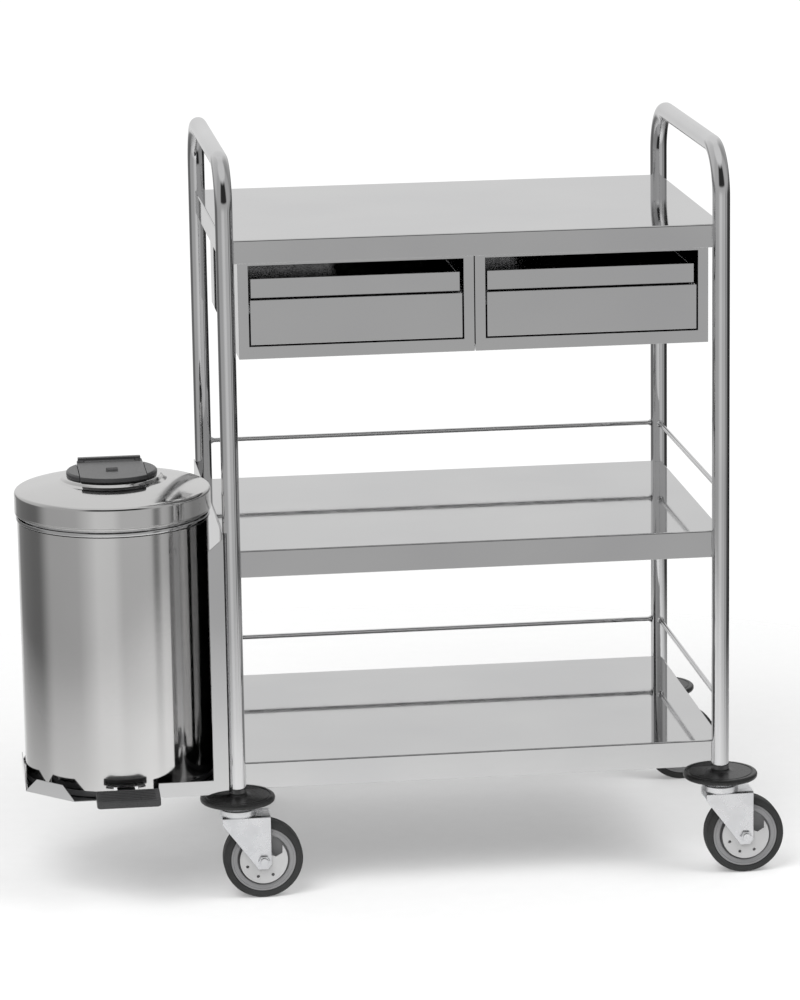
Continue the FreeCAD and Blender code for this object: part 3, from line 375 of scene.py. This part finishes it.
def side_frame(side):
    """Smooth tube round the handle's two bends, with its wall shown at the feet."""
    node = f"side_frame_{side}"
    low, high, middle = middle_of(node)
    radius = (high.x - low.x) / 2
    half = (high.y - low.y) / 2 - radius
    top = high.z - radius
    legs = []
    for sign in (-1, 1):
        leg = []
        for step in range(LEG_STEPS + 1):
            leg.append((sign * half, low.z + (top - BEND - low.z) * step / LEG_STEPS, 0.0))
        for step in range(1, BEND_STEPS + 1):
            turn = math.pi / 2 * step / BEND_STEPS
            leg.append((sign * (half - BEND + BEND * math.cos(turn)),
                        top - BEND + BEND * math.sin(turn), turn))
        legs.append(leg)
    line = [(y, z, -turn) for y, z, turn in legs[0]]
    for step in range(1, TOP_STEPS):
        line.append((-(half - BEND) + 2 * (half - BEND) * step / TOP_STEPS, top, -math.pi / 2))
    line += [(y, z, turn - math.pi) for y, z, turn in reversed(legs[1])]
    first_foot = (line[0][0], low.z + FOOT_DEPTH, line[0][2])
    last_foot = (line[-1][0], low.z + FOOT_DEPTH, line[-1][2])
    inner = radius - TUBE_WALL
    stops = [(first_foot, inner), (line[0], inner)] + [(spot, radius) for spot in line]
    stops += [(line[-1], inner), (last_foot, inner)]
    work = bmesh.new()
    rings = []
    for (y, z, turn), reach in stops:
        out = Vector((0, math.cos(turn), math.sin(turn)))
        centre = Vector((middle.x, middle.y + y, z))
        ring = []
        for step in range(TUBE_SEGMENTS):
            angle = math.tau * step / TUBE_SEGMENTS
            ring.append(work.verts.new(centre + Vector((reach * math.cos(angle), 0, 0))
                                       + out * (reach * math.sin(angle))))
        rings.append(ring)
    for first, second in zip(rings, rings[1:]):
        for step in range(TUBE_SEGMENTS):
            after = (step + 1) % TUBE_SEGMENTS
            work.faces.new((first[step], first[after], second[after], second[step]))
    place(f"{node}_tube", mesh_from(work, node), node)


def rails(node, along):
    """Guard rods with a small weld collar where each end meets its leg."""
    low, high, middle = middle_of(node)
    index = "XYZ".index(along)
    start, end = low[index], high[index]
    radius = (high - low)["YX".index(along)] / 2
    levels = (low.z + radius, high.z - radius)
    length = end - start
    weld = [(0, 0)] + [(radius + beyond * MM, at * MM) for beyond, at in WELD]
    profile = weld + [(reach, length - at) for reach, at in reversed(weld)]
    work = bmesh.new()
    for level in levels:
        centre = Vector((start, middle.y, level) if along == "X" else (middle.x, start, level))
        add_turned(work, profile, centre, along, 24, closed=False)
    place(f"{node}_rods", mesh_from(work, node), node, angle=50)


for side in SIDES:
    side_frame(side)
rails("back_rails", "X")
rails("side_rails", "Y")

# ---------------------------------------------------------------- sheet metal

for node in ("top_shelf", "middle_shelf", "bottom_shelf", "bin_holder"):
    softened(node, 0.45 * MM)
for side in SIDES:
    softened(f"drawer_front_{side}", 0.45 * MM)
    softened(f"drawer_housing_{side}", 0.35 * MM)
    softened(f"drawer_box_{side}", 0.35 * MM)
    softened(f"drawer_guides_{side}", 0.3 * MM)
    softened(f"drawer_runners_{side}", 0.5 * MM)
softened("holder_bolts", 0.5 * MM)
softened("lid_hinge_bracket", 0.4 * MM)
softened("pedal_lever", 0.4 * MM)

# ---------------------------------------------------------------- casters


# outlines in millimetres: the disc's groove and the slope up to its collar are (outwards, up)
DISC_GROOVE = ((1.2, 0), (0.6, -0.5), (0, -0.7), (-0.6, -0.5), (-1.2, 0))
DISC_SLOPE = ((9, 0.2), (4, 0.6), (1.2, 1.2), (0, 2.2))
# half of the tread, (outwards from the tyre's radius, along the axle), with one fine groove
TREAD = ((-0.05, 7.2), (0, 6.6), (-0.7, 6.2), (-0.7, 5.4), (0, 5.0), (0, 0))
# half of the wheel core: radius, the level it is measured from, and the height above it
CORE = (
    (5.1, "hub", 0), (11.2, "hub", 0), (12, "hub", -0.8), (13, "web", 1), (14, "web", 0),
    (30.6, "web", 0), (32, "web", 1.4), (32.2, "rim", -1), (33.2, "rim", 0), (37.4, "rim", 0),
    (37.9, "rim", -0.5), (38.4, "rim", 0), (40.4, "rim", 0), (41, "rim", -0.6),
)
WHEEL_SEGMENTS = 144


def bumper_disc(corner):
    """Rubber disc with a rounded rim, a shallow groove and a collar round the stem."""
    node = f"bumper_disc_{corner}"
    low, high, middle = middle_of(node)
    radius = (high.x - low.x) / 2
    depth = high.z - low.z
    face = 7.4 * MM
    bore = 6.1 * MM
    collar = 11.6 * MM
    rim = 3 * MM
    lip = 0.6 * MM
    groove = radius - 6.5 * MM
    profile = [(bore, 0)] + arc(radius - rim, rim, rim, -90, 0)
    profile += arc(radius - rim, face - rim, rim, 0, 90)
    profile += [(groove + out * MM, face + rise * MM) for out, rise in DISC_GROOVE]
    profile += [(collar + out * MM, face + rise * MM) for out, rise in DISC_SLOPE]
    profile += [(collar, depth - lip), (collar - lip, depth), (bore, depth)]
    centre = Vector((middle.x, middle.y, low.z))
    turned(f"{node}_rubber", node, profile, centre)


def wheel(corner):
    """Grey core with a raised rim and a rubber tyre with two fine grooves."""
    node = f"tyre_{corner}"
    low, high, middle = middle_of(node)
    radius = (high.x - low.x) / 2
    half = (high.y - low.y) / 2
    inner = 41 * MM
    edge = 0.8 * MM
    shoulder = 4.5 * MM
    side = [(inner, half - edge), (inner + edge, half)]
    side += arc(radius - shoulder, half - shoulder, shoulder, 90, 12, 8)
    side += [(radius + out * MM, at * MM) for out, at in TREAD]
    profile = side + [(reach, -at) for reach, at in reversed(side[:-1])]
    turned(f"{node}_tread", node, profile, middle, "Y", WHEEL_SEGMENTS)
    node = f"wheel_core_{corner}"
    low, high, middle = middle_of(node)
    levels = {"hub": (high.y - low.y) / 2, "rim": 12 * MM, "web": 4 * MM}
    side = [(reach * MM, levels[level] + rise * MM) for reach, level, rise in CORE]
    profile = side + [(reach, -at) for reach, at in reversed(side)]
    turned(f"{node}_moulding", node, profile, middle, "Y", WHEEL_SEGMENTS)


for corner in CORNERS:
    bumper_disc(corner)
    wheel(corner)
    softened(f"caster_fork_{corner}", 0.7 * MM)
    softened(f"thread_guards_{corner}", 0.35 * MM)
    softened(f"axle_{corner}", 0.5 * MM)

# ---------------------------------------------------------------- pedal bin


BIN_SEGMENTS = 192
# the collar's bead between its two grooves, in millimetres: inwards from its radius, and up
COLLAR_BEAD = ((4.2, 0), (4.2, 1.1), (1.2, 1.2), (0.4, 1.6), (0, 2.5), (0, 4.9), (0.4, 5.9),
               (1.2, 6.4), (4.2, 6.6))


def bin_shell():
    """Steel wall with the lever's slot at the foot and a seam at the back."""
    node = "bin_shell"
    low, high, middle = middle_of(node)
    radius = (high.x - low.x) / 2
    slot_half = 17 * MM
    slot_top = 5.5 * MM
    sheet = 1 * MM
    centre = Vector((middle.x, middle.y, low.z))
    depth = high.z - low.z
    profile = [(radius, 0), (radius, slot_top), (radius, depth / 2), (radius, depth)]

    def keep(spot):
        in_slot = abs(spot.x - middle.x) < slot_half and spot.y < middle.y
        return not (in_slot and spot.z < low.z + slot_top)

    turned("bin_shell_wall", node, profile, centre, segments=BIN_SEGMENTS, closed=False,
           keep=keep, solid=sheet, ease=0.2 * MM)
    seam_half = 0.5 * MM
    sunk, proud = 0.6 * MM, 0.12 * MM
    seam_foot, seam_head = 12 * MM, 1 * MM
    seam = bmesh.new()
    add_block(seam, (middle.x - seam_half, middle.y + radius - sunk, low.z + seam_foot),
              (middle.x + seam_half, middle.y + radius + proud, high.z - seam_head))
    place("bin_shell_seam", mesh_from(seam, "seam"), node, stands_for=False, ease=0.15 * MM)


def bin_collar():
    """Ring with one broad bead between two narrow grooves."""
    node = "bin_collar"
    low, high, middle = middle_of(node)
    radius = (high.x - low.x) / 2
    depth = high.z - low.z
    bore = 116.6 * MM
    bore_foot = 4 * MM
    profile = [(radius - inwards * MM, rise * MM) for inwards, rise in COLLAR_BEAD]
    profile += [(profile[-1][0], depth), (bore, depth), (bore, bore_foot)]
    turned("bin_collar_bead", node, profile, Vector((middle.x, middle.y, low.z)),
           segments=BIN_SEGMENTS)


def bin_lid():
    """Domed lid with a boss round the inlet, a rounded shoulder, a curled lower edge, hinge
    ears and a lift lug."""
    node = "bin_lid"
    low, high, middle = middle_of(node)
    radius = (high.x - low.x) / 2
    centre = Vector((middle.x, low.y + radius, low.z))
    edge = 28.9 * MM
    rise = 16 * MM
    shoulder = 5 * MM
    inlet = 45 * MM
    sheet = 1 * MM
    curl = 1.3 * MM
    wall_low = 12 * MM
    neck = 0.3 * MM
    crown = radius - shoulder
    outer_steps, inner_steps = 60, 8
    boss_top, boss_foot, boss_rise = 61 * MM, 66.5 * MM, 4.2 * MM

    def dome(reach):
        share = min(max((boss_foot - reach) / (boss_foot - boss_top), 0), 1)
        boss = boss_rise * share * share * (3 - 2 * share)
        return edge + rise * (1 - (reach / crown) ** 2) + boss

    slope = math.degrees(math.atan2(2 * rise / crown, 1))
    reaches = [inlet + (crown - inlet) * step / outer_steps for step in range(outer_steps)]
    outer = [(reach, dome(reach)) for reach in reaches]
    outer += arc(crown, edge - shoulder, shoulder, 90 - slope * 0.6, 0, 10)
    outer += [(radius, wall_low), (radius, curl * 2.4), (radius - neck, curl * 2.1)]
    hem = arc(radius - curl, curl, curl, 15, -180, 8)
    inner = [(radius - 2 * curl, 2 * curl), (radius - sheet, 2.6 * curl)]
    inner += [(reach - sheet, height) for reach, height in
              arc(crown, edge - shoulder, shoulder, 0, 90 - slope, 6)]
    inner += [(reach, dome(reach) - sheet) for reach in
              [crown - (crown - inlet) * step / inner_steps
               for step in range(1, inner_steps + 1)]]
    turned("bin_lid_dome", node, outer + hem + inner, centre, segments=BIN_SEGMENTS)
    lid_fittings(centre.y + radius, sheet)


def lid_fittings(back, sheet):
    """The lid's hinge ears round the pin and the lug that the push rod lifts."""
    pin = middle_of("lid_hinge_pin")[2]
    _, rod_high, rod = middle_of("push_rod")
    half = 14 * MM
    eye, pin_hole = 4 * MM, 2.6 * MM
    inset, gap = 0.5 * MM, 3.2 * MM
    below, above = 2.4 * MM, 0.3 * MM
    ears = bmesh.new()
    add_block(ears, (pin.x - half, back - inset, pin.z - below),
              (pin.x + half, pin.y - gap, pin.z + eye - above))
    add_turned(ears, [(pin_hole, -half), (eye, -half), (eye, half), (pin_hole, half)],
               pin, "X", 40)
    lug, lug_depth, clearance = 5 * MM, 3 * MM, 0.8 * MM
    lug_low = rod_high.z + clearance
    add_block(ears, (rod.x - lug, rod.y - lug, lug_low),
              (rod.x + lug, back - sheet / 2, lug_low + lug_depth))
    place("bin_lid_ears", mesh_from(ears, "ears"), "bin_lid", stands_for=False, ease=0.4 * MM)


bin_shell()
bin_collar()
bin_lid()
softened("bin_base", 0.7 * MM)
softened("bin_bucket", 0.5 * MM)
softened("bucket_handle", 0.2 * MM, 50)
softened("lid_ring", 0.7 * MM, 25)
softened("lid_flap", 0.8 * MM, 25)
softened("pedal_pad", 1.2 * MM, 25)


def flap_grip():
    """Three short raised ribs that mark where to press the flap."""
    _, high, middle = middle_of("lid_flap")
    pitch, forward = 6 * MM, 2 * MM
    half_length, half_width = 7.5 * MM, 0.9 * MM
    sunk, proud = 0.4 * MM, 0.5 * MM
    work = bmesh.new()
    for row in (-1, 0, 1):
        spot = middle.y + row * pitch - forward
        add_block(work, (middle.x - half_length, spot - half_width, high.z - sunk),
                  (middle.x + half_length, spot + half_width, high.z + proud))
    place("lid_flap_grip", mesh_from(work, "grip"), "lid_flap", stands_for=False, ease=0.35 * MM)


def pedal_ribs():
    """Raised ribs along the pedal's top face."""
    low, high, _ = middle_of("pedal_pad")
    rows = 6
    first_share, share_span = 0.16, 0.68
    fall = 5 * MM
    side_gap, half_width = 6 * MM, 1 * MM
    sunk, proud = 1 * MM, 0.7 * MM
    work = bmesh.new()
    length = high.y - low.y
    for row in range(rows):
        share = first_share + share_span * row / (rows - 1)
        spot = low.y + length * share
        top = high.z - fall * (1 - share)
        add_block(work, (low.x + side_gap, spot - half_width, top - sunk),
                  (high.x - side_gap, spot + half_width, top + proud))
    place("pedal_pad_ribs", mesh_from(work, "ribs"), "pedal_pad", stands_for=False,
          ease=0.4 * MM)


flap_grip()
pedal_ribs()


# ---------------------------------------------------------------- camera, light and floor

floor_centre = (cad_low + cad_high) / 2
CAMERA_PLACE = (-0.6411, -5.37337, 1.68791)
CAMERA_LENS = 155.4
CAMERA_YAW, CAMERA_PITCH, CAMERA_ROLL = 7.006, 12.829, -0.857
FLOOR_HALF = 5
FLOOR_LIGHT, FLOOR_DARK = (0.97, 0.97, 0.97), (0.93, 0.93, 0.93)
FLOOR_COVER, FLOOR_FADE = 0.75, (0.55, 1.6)
# name, place, size and power of each soft lamp
LAMPS = (("key", (-1.6, -2.2, 3.4), 2.6, 110), ("fill", (2.2, -1.2, 3.0), 2.2, 60))


def camera():
    """The photograph's viewpoint, found by fitting the cart's edges."""
    data = bpy.data.cameras.new("camera")
    data.sensor_width = 36
    data.lens = CAMERA_LENS
    data.clip_end = 100
    thing = bpy.data.objects.new("camera", data)
    bpy.context.scene.collection.objects.link(thing)
    yaw = math.radians(CAMERA_YAW)
    pitch = math.radians(CAMERA_PITCH)
    roll = math.radians(CAMERA_ROLL)
    forward = Vector((math.sin(yaw) * math.cos(pitch), math.cos(yaw) * math.cos(pitch),
                      -math.sin(pitch)))
    right = Vector((math.cos(yaw), -math.sin(yaw), 0))
    up = right.cross(forward)
    rolled_right = right * math.cos(roll) + up * math.sin(roll)
    rolled_up = up * math.cos(roll) - right * math.sin(roll)
    turn = Matrix((rolled_right, rolled_up, -forward)).transposed()
    thing.matrix_world = Matrix.Translation(CAMERA_PLACE) @ turn.to_4x4()
    bpy.context.scene.camera = thing


def floor():
    """A pale sheet that fades out into the white surround."""
    work = bmesh.new()
    bmesh.ops.create_grid(work, x_segments=1, y_segments=1, size=FLOOR_HALF)
    thing = bpy.data.objects.new("floor", mesh_from(work, "floor"))
    bpy.context.scene.collection.objects.link(thing)
    shader = Shader("floor_paper")
    shader.set(Roughness=0.8)
    shader.feed("Base Color", shader.blend(shader.noise(40, 2), FLOOR_DARK, FLOOR_LIGHT))
    reach = shader.add("ShaderNodeVectorMath", operation="LENGTH")
    shader.join(shader.place, reach.inputs[0])
    shader.feed("Alpha", shader.ramp(reach.outputs["Value"], FLOOR_COVER, 0.0, *FLOOR_FADE))
    thing.data.materials.append(shader.material)


# brightness of the surround by heading: 0 degrees is the front and 90 the right-hand end; the
# levels were set until the steel's bands were near the photograph's
STUDIO = (
    (-180, 2.0), (-166, 2.0), (-156, 0.7), (-138, 0.5), (-118, 0.42), (-84, 0.42), (-48, 0.43),
    (-34, 0.56), (-24, 0.67), (-4, 0.65), (6, 0.51), (36, 0.52), (42, 0.5), (47, 0.2), (51, 0.22),
    (56, 0.48), (64, 0.43), (70, 0.16), (75, 0.03), (82, 0.16), (88, 0.06), (97, 0.1), (104, 0.01),
    (120, 0.06), (138, 0.2), (156, 0.7), (166, 2.0),
)
# where the surround changes, as (start, end) of the view direction's upward or backward part
HORIZON, FLAG_FOOT, OVERHEAD, BEHIND = (-0.08, 0.22), (0.22, 0.32), (0.78, 0.92), (-0.1, 0.3)
# half width in radians over which the dark flag in front fades out
FLAG_SIDES = (0.5, 0.85)
ABOVE_LEVEL, FLAG_LEVEL, OVERHEAD_LEVEL, CAMERA_LEVEL = 0.45, 0.03, 0.7, 1.05
# behind the cart: the share of a card's level below the horizon, and above it the share, the
# part added and the most
BACK_SHARE = 0.35
SKY_SHARE, SKY_BASE, SKY_MOST = 0.6, 0.3, 0.76


def world():
    """Soft studio surround: white for the camera, and for reflections the cards of STUDIO by
    heading, an even grey above them, a dark flag high in front and a paler sky behind."""
    surround = bpy.data.worlds.new("studio")
    bpy.context.scene.world = surround
    surround.use_nodes = True
    tree = surround.node_tree
    tree.nodes.clear()

    def add(kind, **values):
        node = tree.nodes.new(kind)
        for key, value in values.items():
            setattr(node, key, value)
        return node

    def span(source, start, end, low, high):
        node = add("ShaderNodeMapRange", interpolation_type="SMOOTHSTEP")
        for name, value in (("From Min", start), ("From Max", end), ("To Min", low),
                            ("To Max", high)):
            node.inputs[name].default_value = value
        tree.links.new(source, node.inputs["Value"])
        return node.outputs[0]

    def fill(node, first_socket, values):
        for socket, value in zip(node.inputs[first_socket:], values):
            if isinstance(value, (int, float)):
                socket.default_value = value
            else:
                tree.links.new(value, socket)
        return node.outputs[0]

    def mix(factor, first, second):
        node = add("ShaderNodeMix", data_type="FLOAT")
        tree.links.new(factor, node.inputs["Factor"])
        return fill(node, FLOAT_SOCKET, (first, second))

    def calculated(operation, *values):
        return fill(add("ShaderNodeMath", operation=operation), 0, values)

    def times(first, second):
        return calculated("MULTIPLY", first, second)

    split = add("ShaderNodeSeparateXYZ")
    tree.links.new(add("ShaderNodeTexCoord").outputs["Generated"], split.inputs[0])
    across, along, up = split.outputs
    heading = calculated("ARCTAN2", across, times(along, -1))
    turn = add("ShaderNodeMapRange")
    turn.inputs["From Min"].default_value = -math.pi
    turn.inputs["From Max"].default_value = math.pi
    tree.links.new(heading, turn.inputs["Value"])
    cards = add("ShaderNodeValToRGB")
    tree.links.new(turn.outputs[0], cards.inputs[0])
    stops = cards.color_ramp.elements
    while len(stops) > 1:
        stops.remove(stops[-1])
    stops[0].position = 0.0
    stops[0].color = (STUDIO[0][1],) * 3 + (1,)
    for angle, value in STUDIO[1:]:
        stop = stops.new((angle + 180) / 360)
        stop.color = (value, value, value, 1)
    above = span(up, *HORIZON, 0, 1)
    flag = times(span(up, *FLAG_FOOT, 0, 1),
                 span(calculated("ABSOLUTE", heading), *FLAG_SIDES, 1, 0))
    behind = span(along, *BEHIND, 0, 1)
    card = cards.outputs[0]
    front_level = mix(flag, mix(above, card, ABOVE_LEVEL), FLAG_LEVEL)
    sky = calculated("MINIMUM", calculated("MULTIPLY_ADD", card, SKY_SHARE, SKY_BASE), SKY_MOST)
    back_level = mix(above, times(card, BACK_SHARE), sky)
    level = mix(behind, front_level, back_level)
    level = mix(span(up, *OVERHEAD, 0, 1), level, OVERHEAD_LEVEL)
    seen = add("ShaderNodeLightPath").outputs["Is Camera Ray"]
    strength = mix(seen, level, CAMERA_LEVEL)
    light = add("ShaderNodeBackground")
    light.inputs["Color"].default_value = (1, 1, 1, 1)
    tree.links.new(strength, light.inputs["Strength"])
    output = add("ShaderNodeOutputWorld")
    tree.links.new(light.outputs[0], output.inputs["Surface"])


def lamp(name, place_at, size, power):
    """A square soft light that looks at the cart's middle."""
    data = bpy.data.lights.new(name, "AREA")
    data.shape = "SQUARE"
    data.size = size
    data.energy = power
    thing = bpy.data.objects.new(name, data)
    thing.location = place_at
    thing.rotation_mode = "QUATERNION"
    thing.rotation_quaternion = (Vector(place_at) - floor_centre).to_track_quat("Z", "Y")
    thing.visible_glossy = False
    bpy.context.scene.collection.objects.link(thing)


camera()
floor()
world()
for lamp_name, lamp_place, lamp_size, lamp_power in LAMPS:
    lamp(lamp_name, lamp_place, lamp_size, lamp_power)
bpy.context.scene.view_settings.view_transform = "Standard"
